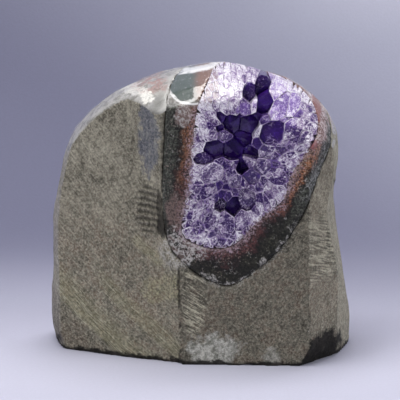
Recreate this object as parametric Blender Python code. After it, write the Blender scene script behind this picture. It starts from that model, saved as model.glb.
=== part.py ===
"""An amethyst geode cut through and polished in its block of basalt, standing on a sawn base.

Metres, +Z up, the polished front faces -Y. The origin is the middle of the base.
Three solids: the basalt block, the agate rind that lines its pocket, and the crystals inside the rind.
"""

import math
import random

import bmesh
import bpy
from mathutils import Matrix, Vector, noise

MM = 0.001
SEED = 7
GAP = 0.3  # between the solids that grew against each other

# The rounded body before sawing, in millimetres: its outline seen from the front, left foot over the dome to the right
BODY_OUTLINE = [
    (-52.5, -6), (-55.5, 5), (-56, 16), (-55.3, 30), (-53.8, 46), (-50.8, 65), (-46.5, 76.8),
    (-38, 86.5), (-26, 95.8), (-9, 103.3), (9, 106.4), (25.8, 102), (39.9, 92.5), (48.2, 82),
    (51, 70), (49.8, 55), (52.3, 38.5), (54.7, 23), (56.7, 10), (56, -6),
]
SHOULDER_HEIGHT = 50  # above this the body closes to a dome
FULL_WIDTH_DEPTH = 6  # the depth where the body is widest
LEFT_REACH = 46  # how far forward of there the left side would close
RIGHT_REACH = 66
DOME_REACH = 44  # how far forward the dome would come down to the shoulder
BACK_REACH = 31.7
FRONT_CUT = 35.5  # the body is modelled no further forward than this
BACK_LUMP = 2.0  # height of the lumps on the rough back
LUMP_SIZE = 19

# Sawn faces: outward heading in degrees from -Y towards +X, lean back in degrees, and a point of the face
SAWN_FACES = {
    "right face, through the geode": (-2.9, 3.5, (0, -30.8, 0)),
    "coarse right flank": (54, 3, (39.8, -32.8, 0)),
    "smooth right flank": (71, 1.5, (50.5, -18, 0)),
    "rough left foot": (-25, -2.9, (-25.8, -21.7, 0)),
    "broken right foot": (48, -21, (39.3, -29, 0)),
    "base": (0, -90, (0, 0, 0)),
}
# The left face was sawn later and deeper, up to a narrow cove beside the geode
LEFT_FACE = (-20, 5.8, (0, -31.07, 0))
COVE = (-52, -2.2, (-6.5, -30.45, 0))

# Chips out of the lower front edge: place, size across, and depth of the bite
EDGE_CHIPS = [
    ((-25, -22, 0), 5.0, 2.0),
    ((-16, -25, 0), 3.5, 1.3),
    ((-6.5, -28.8, 0), 3.6, 2.0),
    ((6, -31, 0), 7.0, 1.7),
    ((15, -31.5, 0), 5.0, 1.5),
    ((29, -32.3, 0), 4.5, 1.4),
    ((-50.5, -12.5, 1), 5.5, 1.5),
    ((-53, 9, 1), 5.0, 1.2),
    ((-33, 27, 0), 8.0, 1.6),
    ((14, 32, 0), 9.0, 1.8),
    ((42, 22, 1), 7.0, 1.6),
]

# The nodule seen from the front: the outer edge of the rind and the outer edge of the crystals
RIND_OUTLINE = [
    (-9, 122), (-11, 104), (-12.6, 82), (-13.3, 58), (-11.5, 46), (-8.3, 40), (-3.6, 35.5),
    (6.5, 30), (13, 30.5), (19.4, 34.8), (27, 41.2), (34, 51), (39, 61), (43.3, 72.6),
    (47, 82), (49, 100), (46, 122), (18, 130),
]
CRYSTAL_OUTLINE = [
    (6, 120), (3, 104), (-1, 94), (-2.3, 84), (-3.2, 70), (-4.7, 60), (-6.8, 51), (-5.2, 46),
    (2, 43), (9, 43), (14, 45.5), (18.5, 51), (24.3, 56.3), (30, 60.8), (31.7, 68), (35.5, 76),
    (40.4, 82.6), (41.7, 89), (41, 99), (37, 113), (22, 123),
]
NODULE_CENTRE = (16, 86)
NODULE_FRONT = -38
RIND_BACK = 11
CRYSTAL_BACK = 6

# The open middle of the geode: centre and half sizes of the lobes
HOLLOW_LOBES = [
    ((17, -27, 79), (17, 15, 18)),
    ((10, -27, 60), (9.5, 11, 11)),
    ((22, -24, 94), (8.5, 11, 10)),
]
# Pockets where the points stay short: place on the face, half width, half height, depth to the tips
POCKETS = [
    ((13.2, 86.3), 6.8, 5.8, 11),
    ((9.0, 78.0), 8.0, 5.4, 13),
    ((22.0, 94.0), 4.2, 8.0, 10),
    ((17.8, 77.4), 3.6, 3.2, 8),
    ((1.5, 75.0), 3.0, 1.8, 4),
    ((15.0, 69.5), 2.0, 4.2, 6),
    ((12.6, 59.0), 3.4, 2.8, 6),
    ((7.2, 57.6), 1.8, 1.8, 5),
]
CRYSTAL_COUNT = 118
CRYSTAL_RADIUS = (2.0, 3.9)
ROOT = 3.0  # length of each crystal that is buried in the mass


def clear_scene():
    for thing in list(bpy.data.objects):
        bpy.data.objects.remove(thing)


def heading(azimuth, lean):
    """Outward direction of a face that looks along azimuth and leans back."""
    a, b = math.radians(azimuth), math.radians(lean)
    return Vector((math.sin(a) * math.cos(b), -math.cos(a) * math.cos(b), math.sin(b)))


def smooth_curve(points, steps, closed):
    """A Catmull-Rom curve through the points, with that many steps from one point to the next."""
    n = len(points)
    found = []
    for i in range(n if closed else n - 1):
        ring = [points[(i + k) % n] if closed else points[min(max(i + k, 0), n - 1)] for k in (-1, 0, 1, 2)]
        a, b, c, d = (Vector(p) for p in ring)
        for k in range(steps):
            t = k / steps
            found.append(0.5 * (2 * b + (c - a) * t + (2 * a - 5 * b + 4 * c - d) * t * t
                                + (3 * b - a - 3 * c + d) * t ** 3))
    if not closed:
        found.append(Vector(points[-1]))
    return found


def new_object(name, bm):
    """An object made of a bmesh drawn in millimetres."""
    bmesh.ops.recalc_face_normals(bm, faces=bm.faces)
    bmesh.ops.scale(bm, vec=(MM, MM, MM), verts=bm.verts)
    mesh = bpy.data.meshes.new(name)
    bm.to_mesh(mesh)
    bm.free()
    thing = bpy.data.objects.new(name, mesh)
    bpy.context.scene.collection.objects.link(thing)
    return thing


def loft(bm, rings):
    """Joins closed rings of points into one closed surface."""
    rows = [[bm.verts.new(p) for p in ring] for ring in rings]
    for first, second in zip(rows, rows[1:]):
        for i in range(len(first)):
            j = (i + 1) % len(first)
            bm.faces.new((first[i], first[j], second[j], second[i]))
    bm.faces.new(rows[0])
    bm.faces.new(rows[-1])


def as_helper(thing):
    thing.hide_render = True
    thing.display_type = "WIRE"
    return thing


def combine(thing, operation, other):
    """Adds a Boolean with another object."""
    modifier = thing.modifiers.new(operation.title(), "BOOLEAN")
    modifier.operation = operation
    modifier.solver = "EXACT"
    modifier.use_self = True
    modifier.object = other
    return modifier


def finish(name, red, green, blue, roughness):
    material = bpy.data.materials.new(name)
    material.use_nodes = True
    shader = material.node_tree.nodes["Principled BSDF"]
    shader.inputs["Base Color"].default_value = (red, green, blue, 1)
    shader.inputs["Roughness"].default_value = roughness
    shader.inputs["Metallic"].default_value = 0
    return material


# The block

def body_section(outline, y):
    """The body's outline at one depth: narrower and lower towards the front and the back."""
    forward = min(0, y - FULL_WIDTH_DEPTH)
    left = math.sqrt(1 - (forward / LEFT_REACH) ** 2) if forward > -LEFT_REACH else 0.05
    right = math.sqrt(1 - (forward / RIGHT_REACH) ** 2)
    high = math.sqrt(1 - (min(0, y) / DOME_REACH) ** 2)
    back = (1 - (max(0, y) / BACK_REACH) ** 2.7) ** (1 / 2.7)
    ring = []
    for x, z in outline:
        above = max(0, z - SHOULDER_HEIGHT)
        wide = left if x < 0 else right
        ring.append(Vector((x * wide * back, y, min(z, SHOULDER_HEIGHT) + above * high * back)))
    return ring


def lump(point):
    """How far a point of the rough back stands in or out: none at the front, full at the back."""
    share = min(1, max(0, (point.y + 2) / 14))
    wave = noise.noise(point / LUMP_SIZE) + 0.4 * noise.noise(point / LUMP_SIZE * 2.3)
    return share * BACK_LUMP * wave


def make_body():
    """The rounded body, closed, with its lumpy back, before anything is sawn."""
    outline = smooth_curve(BODY_OUTLINE, 3, closed=False)
    front = [-FRONT_CUT * math.sin(math.radians(a)) for a in (90, 70, 55, 42, 31, 21, 11)]
    back = [BACK_REACH * math.sin(math.radians(a)) ** 0.74 for a in (0, 6, 14, 24, 36, 49, 62, 74, 83, 87.5, 89.6)]
    bm = bmesh.new()
    loft(bm, [body_section(outline, y) for y in front + back])
    bmesh.ops.recalc_face_normals(bm, faces=bm.faces)
    bm.normal_update()
    for vert in bm.verts:
        vert.co += vert.normal * lump(vert.co)
    return bm


def saw(bm, azimuth, lean, point, keep_outside=False):
    """Cuts away what lies outside one face, or inside it, and closes the cut."""
    cut = bmesh.ops.bisect_plane(
        bm, geom=bm.verts[:] + bm.edges[:] + bm.faces[:], dist=0.0005,
        plane_co=point, plane_no=heading(azimuth, lean),
        clear_outer=not keep_outside, clear_inner=keep_outside,
    )
    edges = [e for e in cut["geom_cut"] if isinstance(e, bmesh.types.BMEdge) and e.is_boundary]
    bmesh.ops.edgeloop_fill(bm, edges=edges)


def left_cut():
    """What the later sawing took away: all that lies in front of both the left face and the cove."""
    bm = bmesh.new()
    bmesh.ops.create_cube(bm, size=300)
    for azimuth, lean, point in (LEFT_FACE, COVE):
        saw(bm, azimuth, lean, point, keep_outside=True)
    return as_helper(new_object("left_cutter", bm))


def chips():
    """Shallow broken scoops along the lower edge, as one cutter."""
    dice = random.Random(SEED)
    bm = bmesh.new()
    for place, across, bite in EDGE_CHIPS:
        place = Vector(place)
        outward = Vector((place.x, place.y * 1.6, 0)).normalized()
        made = bmesh.ops.create_icosphere(bm, subdivisions=1, radius=1)["verts"]
        turn = outward.to_track_quat("Z", "Y").to_matrix().to_4x4()
        size = Matrix.Diagonal((across, across * 0.75, across * 0.75, 1))
        middle = Matrix.Translation(place + outward * (across * 0.75 - bite) - Vector((0, 0, bite)))
        for vert in made:
            vert.co = vert.co * dice.uniform(0.86, 1.08)
        bmesh.ops.transform(bm, matrix=middle @ turn @ size, verts=made)
    return as_helper(new_object("chip_cutter", bm))


def make_block():
    """The sawn block, still without the pocket for the nodule."""
    bm = make_body()
    for azimuth, lean, point in SAWN_FACES.values():
        saw(bm, azimuth, lean, point)
    return bm


# The nodule

def nodule(name, outline, back, steps, grow=0.0):
    """A closed egg of the outline's shape that narrows with depth, grown outwards by a few tenths."""
    centre = Vector(NODULE_CENTRE)
    depth = back - NODULE_FRONT
    rings = []
    for share in (0, 0.2, 0.36, 0.5, 0.62, 0.72, 0.8, 0.87, 0.92, 0.96, 0.985):
        narrow = (1 - share ** 3) ** (1 / 3)
        y = NODULE_FRONT + share * depth
        ring = []
        for p in smooth_curve(outline, steps, closed=True):
            q = centre + (p - centre) * narrow
            ring.append(Vector((q.x, y, q.y)))
        rings.append(ring)
    bm = bmesh.new()
    loft(bm, rings)
    bmesh.ops.recalc_face_normals(bm, faces=bm.faces)
    bm.normal_update()
    for vert in bm.verts:
        vert.co += vert.normal * grow
    return as_helper(new_object(name, bm))


def hollow():
    """The open middle of the geode, run out past the front."""
    dice = random.Random(SEED + 1)
    bm = bmesh.new()
    for centre, half in HOLLOW_LOBES:
        made = bmesh.ops.create_icosphere(bm, subdivisions=3, radius=1)["verts"]
        for vert in made:
            vert.co = vert.co * dice.uniform(0.95, 1.04)
        place = Matrix.Translation(centre) @ Matrix.Diagonal((*half, 1))
        bmesh.ops.transform(bm, matrix=place, verts=made)
    return as_helper(new_object("hollow_cutter", bm))


def wall_depth(x, z):
    """How far back the wall of the hollow lies behind a point of the front, or None outside the hollow."""
    found = None
    for (cx, cy, cz), (rx, ry, rz) in HOLLOW_LOBES:
        inside = 1 - ((x - cx) / rx) ** 2 - ((z - cz) / rz) ** 2
        if inside > 0:
            y = cy + ry * math.sqrt(inside)
            found = y if found is None else max(found, y)
    return found


def face_depth(x, z):
    """Where the polished right face lies in front of a point."""
    azimuth, lean, (px, py, pz) = SAWN_FACES["right face, through the geode"]
    n = heading(azimuth, lean)
    return py - (n.x * (x - px) + n.z * (z - pz)) / n.y


def pocket_at(x, z):
    """Depth of the pocket at a point of the face, or 0 where the points reach the polish."""
    for (px, pz), half_width, half_height, depth in POCKETS:
        if ((x - px) / half_width) ** 2 + ((z - pz) / half_height) ** 2 < 1:
            return depth
    return 0


def quartz_point(bm, root, direction, radius, length, turn, dice):
    """One six-sided crystal with its shoulders at two heights, as quartz has, from its root to its tip."""
    tip_length = radius * 1.25
    frame = direction.to_track_quat("Z", "Y").to_matrix().to_4x4()
    place = Matrix.Translation(root) @ frame @ Matrix.Rotation(turn, 4, "Z")
    foot, shoulder = [], []
    for k in range(6):
        angle = math.radians(60 * k)
        wide = radius * dice.uniform(0.86, 1.12)
        x, y = wide * math.cos(angle), wide * math.sin(angle)
        drop = (0.35 if k % 2 else -0.1) * radius
        foot.append(bm.verts.new(place @ Vector((x * 1.3, y * 1.3, 0))))
        shoulder.append(bm.verts.new(place @ Vector((x, y, length - tip_length - drop))))
    off = radius * 0.22
    tip = bm.verts.new(place @ Vector((dice.uniform(-off, off), dice.uniform(-off, off), length)))
    for k in range(6):
        j = (k + 1) % 6
        bm.faces.new((foot[k], foot[j], shoulder[j]))
        bm.faces.new((foot[k], shoulder[j], shoulder[k]))
        bm.faces.new((shoulder[k], shoulder[j], tip))
    bm.faces.new(foot[::-1])


def points():
    """The crystals that line the hollow, thickest in the middle, their tips below the polish in the pockets."""
    dice = random.Random(SEED + 2)
    bm = bmesh.new()
    golden = math.pi * (3 - math.sqrt(5))
    centre = Vector((16, 77))
    for i in range(CRYSTAL_COUNT):
        spread = math.sqrt((i + 0.5) / CRYSTAL_COUNT)
        x = centre.x + 19.5 * spread * math.cos(golden * i) + dice.uniform(-0.7, 0.7)
        z = centre.y + 28 * spread * math.sin(golden * i) + dice.uniform(-0.7, 0.7)
        wall = wall_depth(x, z)
        if wall is None:
            continue
        face = face_depth(x, z)
        small, large = CRYSTAL_RADIUS
        radius = small + (large - small) * (1 - spread) * dice.uniform(0.6, 1.2) + 0.3
        tip_depth = pocket_at(x, z) or dice.uniform(-6, 0.4)
        lean = Vector(((centre.x - x) * 0.022 + dice.uniform(-0.16, 0.16), -1,
                       (centre.y - z) * 0.018 + dice.uniform(-0.16, 0.16))).normalized()
        reach = max(wall - (face + tip_depth), radius * 0.8)
        root = Vector((x, wall, z)) - lean * (ROOT + radius * 0.4)
        length = reach / -lean.y + ROOT + radius * 0.4
        quartz_point(bm, root, lean, radius, length, dice.uniform(0, math.pi / 3), dice)
    return as_helper(new_object("crystal_points", bm))


def keep_largest_skin(thing):
    """Applies the Booleans and fills the small sealed gaps left between the roots."""
    bpy.context.view_layer.update()
    graph = bpy.context.evaluated_depsgraph_get()
    mesh = bpy.data.meshes.new_from_object(thing.evaluated_get(graph))
    bm = bmesh.new()
    bm.from_mesh(mesh)
    left = set(bm.verts)
    skins = []
    while left:
        skin, front = set(), [left.pop()]
        while front:
            vert = front.pop()
            skin.add(vert)
            near = [e.other_vert(vert) for e in vert.link_edges]
            front += [v for v in near if v in left]
            left.difference_update(near)
        skins.append(skin)
    skins.sort(key=len)
    for skin in skins[:-1]:
        bmesh.ops.delete(bm, geom=list(skin), context="VERTS")
    bm.to_mesh(mesh)
    bm.free()
    thing.modifiers.clear()
    thing.data = mesh


# The part

def main():
    clear_scene()
    block = as_helper(new_object("block_shape", make_block()))
    basalt = new_object("basalt_block", make_block())
    left_cutter = left_cut()
    chip_cutter = chips()
    for thing in (block, basalt):
        combine(thing, "DIFFERENCE", left_cutter)
        combine(thing, "DIFFERENCE", chip_cutter)
    combine(basalt, "DIFFERENCE", nodule("rind_seat", RIND_OUTLINE, RIND_BACK, 3, GAP))
    basalt.data.materials.append(finish("basalt", 0.16, 0.155, 0.125, 0.75))

    rind_form = nodule("rind_form", RIND_OUTLINE, RIND_BACK, 3)
    rind = bpy.data.objects.new("agate_rind", rind_form.data)
    bpy.context.scene.collection.objects.link(rind)
    combine(rind, "DIFFERENCE", nodule("crystal_seat", CRYSTAL_OUTLINE, CRYSTAL_BACK, 2, GAP))
    combine(rind, "INTERSECT", block)
    rind.data.materials.append(finish("agate", 0.12, 0.045, 0.03, 0.25))

    crystal_form = nodule("crystal_form", CRYSTAL_OUTLINE, CRYSTAL_BACK, 2)
    crystals = bpy.data.objects.new("amethyst_crystals", crystal_form.data)
    bpy.context.scene.collection.objects.link(crystals)
    combine(crystals, "DIFFERENCE", hollow())
    rooted = points()
    combine(rooted, "INTERSECT", nodule("root_limit", CRYSTAL_OUTLINE, CRYSTAL_BACK, 2, -GAP))
    combine(crystals, "UNION", rooted)
    combine(crystals, "INTERSECT", block)
    keep_largest_skin(crystals)
    crystals.data.materials.append(finish("amethyst", 0.28, 0.16, 0.5, 0.12))


main()
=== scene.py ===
import math
import random

import bmesh
import bpy
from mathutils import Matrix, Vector, noise
from mathutils.bvhtree import BVHTree


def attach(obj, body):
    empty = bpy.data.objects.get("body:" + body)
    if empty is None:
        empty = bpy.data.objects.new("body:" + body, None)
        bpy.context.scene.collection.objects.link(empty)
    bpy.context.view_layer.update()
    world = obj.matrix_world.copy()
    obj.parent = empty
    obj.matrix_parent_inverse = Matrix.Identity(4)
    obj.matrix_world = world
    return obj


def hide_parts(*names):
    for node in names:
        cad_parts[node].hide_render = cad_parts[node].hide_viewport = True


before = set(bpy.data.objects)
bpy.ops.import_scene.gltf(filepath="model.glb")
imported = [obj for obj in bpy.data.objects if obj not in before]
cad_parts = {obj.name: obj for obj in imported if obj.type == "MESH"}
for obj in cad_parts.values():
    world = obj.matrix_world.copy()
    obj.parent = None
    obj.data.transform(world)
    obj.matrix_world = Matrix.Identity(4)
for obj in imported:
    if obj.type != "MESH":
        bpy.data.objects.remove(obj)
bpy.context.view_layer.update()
mm = 0.001
print("frame loaded:", sorted(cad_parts))

# camera first: the photograph looks down a little from the front
shot = {"target": (0, 0, 0.0546), "distance": 0.7, "down": 12, "lens": 169.1}
bpy.ops.object.camera_add()
camera = bpy.context.object
camera.name = "camera"
camera.data.sensor_width = 36
camera.data.lens = shot["lens"]
lift = math.radians(shot["down"])
camera.location = Vector(shot["target"]) + Vector((0, -math.cos(lift), math.sin(lift))) * shot["distance"]
camera.rotation_euler = (math.radians(90) - lift, 0, 0)
bpy.context.scene.camera = camera


class Wire:  # an output socket that works in sums
    def __init__(self, board, socket):
        self.board = board
        self.socket = socket

    def sum(self, operation, *others):
        return self.board.add("ShaderNodeMath", {"operation": operation}, dict(enumerate((self,) + others)))

    def __add__(self, other):
        return self.sum("ADD", other)

    def __sub__(self, other):
        return self.sum("SUBTRACT", other)

    def __rsub__(self, other):
        return self.board.add("ShaderNodeMath", {"operation": "SUBTRACT"}, {0: other, 1: self})

    def __mul__(self, other):
        return self.sum("MULTIPLY", other)

    def __truediv__(self, other):
        return self.sum("DIVIDE", other)

    def __pow__(self, other):
        return self.sum("POWER", other)

    __radd__ = __add__
    __rmul__ = __mul__


class Board:  # a material and the nodes laid out on it
    def __init__(self, name):
        self.material = bpy.data.materials.new(name)
        self.material.use_nodes = True
        self.tree = self.material.node_tree
        self.tree.nodes.clear()
        self.place = self.add("ShaderNodeVectorMath", {"operation": "SCALE"}, {
            0: self.add("ShaderNodeTexCoord", out="Object"), "Scale": 1000})  # in millimetres
        split = self.add("ShaderNodeSeparateXYZ", {}, {0: self.place})
        self.x, self.y, self.z = split, self.other(split, 1), self.other(split, 2)

    def add(self, kind, settings=None, sockets=None, out=0):
        node = self.tree.nodes.new(kind)
        for key, value in (settings or {}).items():
            if key == "stops":
                ramp = node.color_ramp.elements
                while len(ramp) < len(value):
                    ramp.new(0.5)
                for stop, (at, colour) in zip(ramp, value):
                    stop.position = at
                    stop.color = (*colour, 1)
            else:
                setattr(node, key, value)
        for key, value in (sockets or {}).items():
            if isinstance(value, Wire):
                self.tree.links.new(value.socket, node.inputs[key])
            else:
                node.inputs[key].default_value = value
        return Wire(self, node.outputs[out])

    def other(self, wire, out):
        return Wire(self, wire.socket.node.outputs[out])

    def noise(self, scale, detail=3, rough=0.55, place=None, twist=0):
        return self.add("ShaderNodeTexNoise", {}, {
            "Vector": place or self.place, "Scale": scale, "Detail": detail, "Roughness": rough,
            "Distortion": twist})

    def step(self, value, low, high):
        return self.add("ShaderNodeMapRange", {"interpolation_type": "SMOOTHSTEP"}, {
            "Value": value, "From Min": low, "From Max": high})

    def mix(self, first, second, share):
        first, second = [c if isinstance(c, Wire) else (*c, 1) for c in (first, second)]
        return self.add("ShaderNodeMix", {"data_type": "RGBA"}, {0: share, 6: first, 7: second}, out=2)

    def scale(self, colour, by):
        return self.add("ShaderNodeVectorMath", {"operation": "SCALE"}, {0: colour, "Scale": by})

    def ramp(self, value, stops):
        return self.add("ShaderNodeValToRGB", {"stops": stops}, {0: value})

    def spot(self, x, z, wide, high, ragged=0.0, size=0.25):  # 1 inside a patch of the front, 0 outside
        far = (((self.x - x) / wide) ** 2 + ((self.z - z) / high) ** 2) ** 0.5
        if ragged:
            far = far + (self.noise(size, 4, 0.65) - 0.5) * ragged
        return self.step(far, 1.15, 0.75)

    def patches(self, places):  # the masks of all of a piece's named patches
        return {name: self.spot(*place) for name, place in places.items()}

    def held(self, name):  # a number that the mesh carries at its points
        return self.add("ShaderNodeAttribute", {"attribute_name": name}, out="Fac")

    def streak(self, across, along, fine, long, detail=4, rough=0.65):  # scratches: noise drawn out one way
        place = self.add("ShaderNodeCombineXYZ", {}, {0: across * fine, 1: along * long, 2: self.y * 0.05})
        return self.noise(1.0, detail, rough, place)

    def thread(self, value, width):  # thin lines where a noise crosses its middle
        return self.step(((value - 0.5) * 10) ** 2, width, 0.0)

    def veins(self):  # thin mineral veins that wander
        return self.step(((self.noise(0.32, 5, 0.75, twist=0.6) - 0.5) * 14) ** 2, 0.5, 0.02)

    def ring(self, value, middle, half):  # 1 on a line of this value, 0 half away from it
        return self.step(((value - middle) / half) ** 2, 1.0, 0.1)

    def bump(self, height, distance, strength=1.0):
        return self.add("ShaderNodeBump", {}, {"Height": height, "Distance": distance, "Strength": strength})

    def shade(self, **sockets):
        named = {key.replace("_", " "): value for key, value in sockets.items()}
        return self.add("ShaderNodeBsdfPrincipled", {}, named)

    def finish(self, surface, volume=None):
        links = {"Surface": surface}
        if volume:
            links["Volume"] = volume
        node = self.tree.nodes.new("ShaderNodeOutputMaterial")
        for key, value in links.items():
            self.tree.links.new(value.socket, node.inputs[key])
        return self.material


def only(thing):
    bpy.ops.object.select_all(action="DESELECT")
    thing.select_set(True)
    bpy.context.view_layer.objects.active = thing


def copyOf(node, name):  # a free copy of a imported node, its loose triangles joined
    thing = bpy.data.objects.new(name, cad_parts[node].data.copy())
    bpy.context.scene.collection.objects.link(thing)
    thing.data.materials.clear()
    only(thing)
    bpy.ops.object.mode_set(mode="EDIT")
    bpy.ops.mesh.select_all(action="SELECT")
    bpy.ops.mesh.remove_doubles(threshold=0.00001)
    bpy.ops.object.mode_set(mode="OBJECT")
    return thing


def treeOf(thing):
    form = bmesh.new()
    form.from_mesh(thing.data)
    tree = BVHTree.FromBMesh(form)
    form.free()
    return tree


def modify(thing, kind, **settings):
    only(thing)
    modifier = thing.modifiers.new(kind.title(), kind)
    for key, value in settings.items():
        setattr(modifier, key, value)
    bpy.ops.object.modifier_apply(modifier=modifier.name)


def smooth(thing, angle):
    only(thing)
    bpy.ops.object.shade_smooth_by_angle(angle=math.radians(angle))


def attribute(thing, name, values):
    held = thing.data.attributes.new(name, "FLOAT", "POINT")
    held.data.foreach_set("value", values)


def dropMesh(thing):
    bpy.data.objects.remove(thing)


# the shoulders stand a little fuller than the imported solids
shoulders = {
    "middle": (0, 55), "from": 28, "to": 46,  # millimetres
    "swells": [(136, 36, 3.0), (178, 36, 1.5), (39, 30, 2.5)],  # degrees round the middle, spread, millimetres
}


def fuller(thing):  # the same outward shift for every piece, so that they stay together
    middle, low, high = shoulders["middle"], shoulders["from"], shoulders["to"]
    for vert in thing.data.vertices:
        x, z = vert.co.x / mm - middle[0], vert.co.z / mm - middle[1]
        reach = math.hypot(x, z)
        if reach > low:
            share = min(1, (reach - low) / (high - low))
            angle = math.degrees(math.atan2(z, x)) % 360
            swells = [most * max(0, 1 - ((angle - at) / wide) ** 2) ** 2 for at, wide, most in shoulders["swells"]]
            grow = sum(swells)
            vert.co += Vector((x, 0, z)) / reach * grow * share * share * (3 - 2 * share) * mm


# the plane that was polished through the geode
polishedPlane = {"point": Vector((0, -30.8, 0)), "turn": -2.9, "lean": 3.5}
turn, lean = math.radians(polishedPlane["turn"]), math.radians(polishedPlane["lean"])
polishedNormal = Vector((math.sin(turn) * math.cos(lean), -math.cos(turn) * math.cos(lean), math.sin(lean)))


def polishedDepth(x, z):  # the y of the polished plane, in millimetres
    n, p = polishedNormal, polishedPlane["point"]
    return p.y - (n.x * (x - p.x) + n.z * (z - p.z)) / n.y


# basalt block
basaltLook = {
    "voxel": 0.8 * mm, "roughLift": 0.6, "sawnLift": 0.06,  # mesh size, and waves on natural and sawn faces
    "light": (0.44, 0.41, 0.318), "dark": (0.08, 0.072, 0.054), "olive": (0.33, 0.31, 0.17),
    "brown": (0.15, 0.11, 0.08), "scratch": (0.56, 0.53, 0.4), "leftEdgeHighlight": (0.33, 0.325, 0.36),
    "flank": (0.42, 0.4, 0.31), "rightFaceShade": 0.7,  # painted shade: how bright the right face is painted beside the left
    "bluePatch": (0.13, 0.15, 0.195), "navy": (0.04, 0.05, 0.085), "steel": (0.3, 0.31, 0.34),
    "crust": (0.42, 0.42, 0.4), "vein": (0.5, 0.48, 0.44), "calcite": (0.5, 0.49, 0.44),
    "calciteShade": (0.2, 0.205, 0.17), "shadowed": (0.012, 0.01, 0.009), "footDark": (0.07, 0.06, 0.045),
    "earth": (0.3, 0.27, 0.2), "backDark": (0.1, 0.09, 0.07), "dome": (0.46, 0.45, 0.43),
    "domeShade": (0.24, 0.235, 0.22), "domeGrey": (0.16, 0.16, 0.15), "domeGrooveLight": (0.5, 0.49, 0.46),
    "pink": (0.36, 0.2, 0.17), "milkAndHighlight": (0.8, 0.78, 0.72), "pinkGrey": (0.46, 0.33, 0.32),
    # x, z, half width and half height in millimetres, raggedness, scale of the rags
    "patches": {
        "earth": (-34, 38, 15, 15, 1.6, 0.12), "upperSweep": (-19, 40, 7, 7), "olive": (-13.5, 27, 6.5, 6, 3.0, 0.1),
        "strip": (-2.2, 24, 4.4, 15, 0.35), "blue": (-18.4, 82, 3.8, 14, 2.2, 0.3),
        "chatter": (-18.6, 55.5, 4.6, 10.5, 0.4), "shadedCleft": (-13.6, 50.4, 1.9, 4.6, 1.0, 0.5),
        "shadedCleftTop": (-14.7, 58, 1.1, 5, 1.0, 0.5), "vein": (-8.5, 41, 7, 6, 2.0, 0.25),
        "calcite": (5.0, 4.6, 10, 6.8, 2.2, 0.2), "calciteRight": (26, 3, 3.4, 4.2, 2.0, 0.3),
        "chip": (43.5, 5.0, 10, 5.6, 1.4, 0.25), "domeGrey": (-12.5, 91, 5.5, 6, 1.2, 0.3),
        "pink": (-20, 100, 8, 3.2, 1.0, 0.35), "milkAndHighlight": (-19.2, 96.0, 2.5, 1.9, 2.4, 0.45),
        "milkAndHighlightLeft": (-25, 97.5, 6.5, 1.5, 2.2, 0.3), "pinkRight": (46, 90, 4, 9, 1.2, 0.3),
        "dull": (-15, 92, 8, 7, 1.0, 0.3),
    },
}


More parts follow.
